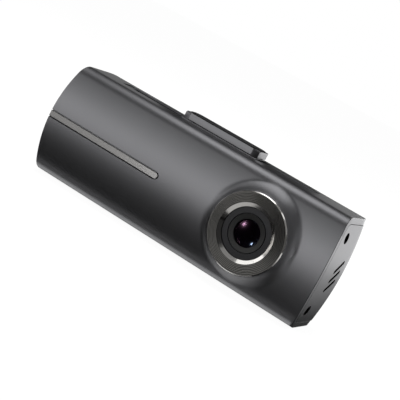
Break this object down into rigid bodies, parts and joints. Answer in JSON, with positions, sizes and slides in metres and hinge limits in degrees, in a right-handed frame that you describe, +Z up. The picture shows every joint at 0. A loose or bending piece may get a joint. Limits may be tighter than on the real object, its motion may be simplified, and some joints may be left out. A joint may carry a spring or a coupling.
{
  "type": "dash camera",
  "caption": "Bar-shaped windscreen dash camera with a domed front, raised round lens at one end, slide-on tilting adhesive bracket, push buttons and a removable memory card.",
  "frame": {"origin": "middle of the flat bottom, under the middle of the whole box", "axes": "+X along the body towards the lens end, -Y out of the lens, +Z up through the bracket"},
  "size_m": [0.106, 0.0296, 0.041],
  "materials": {
    "shell_grey": "bead blasted and anodised mid grey",
    "cap_grey": "fine grained mid grey moulding",
    "black_steel": "black oxide",
    "satin_aluminium": "satin anodised, warm grey",
    "turned_ring": "dark anodised with fine turned grooves and polished edges",
    "black_rubber": "matte",
    "lens_black": "matte black anodised",
    "coated_glass": "polished with a violet and blue coating",
    "black_plastic": "fine grain",
    "steel": "plated",
    "filter_glass": "polished",
    "chip_black": "moulded package",
    "circuit_board": "green solder mask",
    "cream_plastic": "moulded",
    "ribbon_film": "amber film",
    "cast_aluminium": "as cast",
    "thermal_rubber": "soft matte",
    "capacitor_can": "printed sleeve",
    "card_black": "moulded",
    "button_grey": "fine grain",
    "clear_plastic": "clear moulding",
    "bracket_grey": "fine grain",
    "foam_adhesive": "acrylic foam tape"
  },
  "bodies": {
    "housing": {"front_shell": "shell_grey", "rear_cover": "shell_grey", "left_end_cap": "cap_grey", "right_end_cap": "cap_grey", "end_cap_screws": "black_steel", "accent_strip": "satin_aluminium", "lens_ring": "turned_ring", "lens_gasket": "black_rubber", "lens_barrel": "lens_black", "lens_retainer": "lens_black", "front_element": "coated_glass", "aperture_disc": "black_steel", "rear_element": "coated_glass", "lens_holder": "black_plastic", "lens_holder_screws": "steel", "ir_filter": "filter_glass", "image_sensor": "chip_black", "sensor_board": "circuit_board", "sensor_board_screws": "steel", "ribbon_connectors": "cream_plastic", "sensor_ribbon": "ribbon_film", "heat_frame": "cast_aluminium", "heat_frame_screws": "steel", "main_board": "circuit_board", "main_board_screws": "steel", "processor": "chip_black", "memory_chip": "chip_black", "thermal_pad": "thermal_rubber", "supercapacitors": "capacitor_can", "wifi_module": "steel", "usb_socket": "steel", "usb_tongue": "black_plastic", "card_socket": "steel", "microphone": "steel", "microphone_boot": "black_rubber", "speaker_frame": "black_plastic", "speaker_cone": "black_plastic", "speaker_gasket": "black_rubber", "switch_bodies": "steel", "status_leds": "cream_plastic", "light_pipes": "clear_plastic", "top_rail": "black_plastic"},
    "mount_foot": {"mount_shoe": "bracket_grey", "hinge_pin": "steel"},
    "mount_bracket": {"mount_plate": "bracket_grey", "adhesive_pad": "foam_adhesive"},
    "power_key": {"power_button": "button_grey", "power_plunger": "black_plastic"},
    "lock_key": {"lock_button": "button_grey", "lock_plunger": "black_plastic"},
    "wifi_key": {"wifi_button": "button_grey", "wifi_plunger": "black_plastic"},
    "card": {"memory_card": "card_black"}
  },
  "joints": [
    {"name": "mount_slide", "type": "slide", "parent": "housing", "child": "mount_foot", "axis": [-1, 0, 0], "range_m": [0, 0.025]},
    {"name": "mount_tilt", "type": "hinge", "parent": "mount_foot", "child": "mount_bracket", "pos_m": [-0.001, 0.00135, 0.0395], "axis": [1, 0, 0], "range_deg": [0, 60]},
    {"name": "power_press", "type": "slide", "parent": "housing", "child": "power_key", "axis": [0, -1, 0], "range_m": [0, 0.00045], "stiffness_N_per_m": 600},
    {"name": "lock_press", "type": "slide", "parent": "housing", "child": "lock_key", "axis": [0, -1, 0], "range_m": [0, 0.00045], "stiffness_N_per_m": 600},
    {"name": "wifi_press", "type": "slide", "parent": "housing", "child": "wifi_key", "axis": [0, -1, 0], "range_m": [0, 0.00045], "stiffness_N_per_m": 600},
    {"name": "card_pull", "type": "slide", "parent": "housing", "child": "card", "axis": [-1, 0, 0], "range_m": [0, 0.015]}
  ]
}
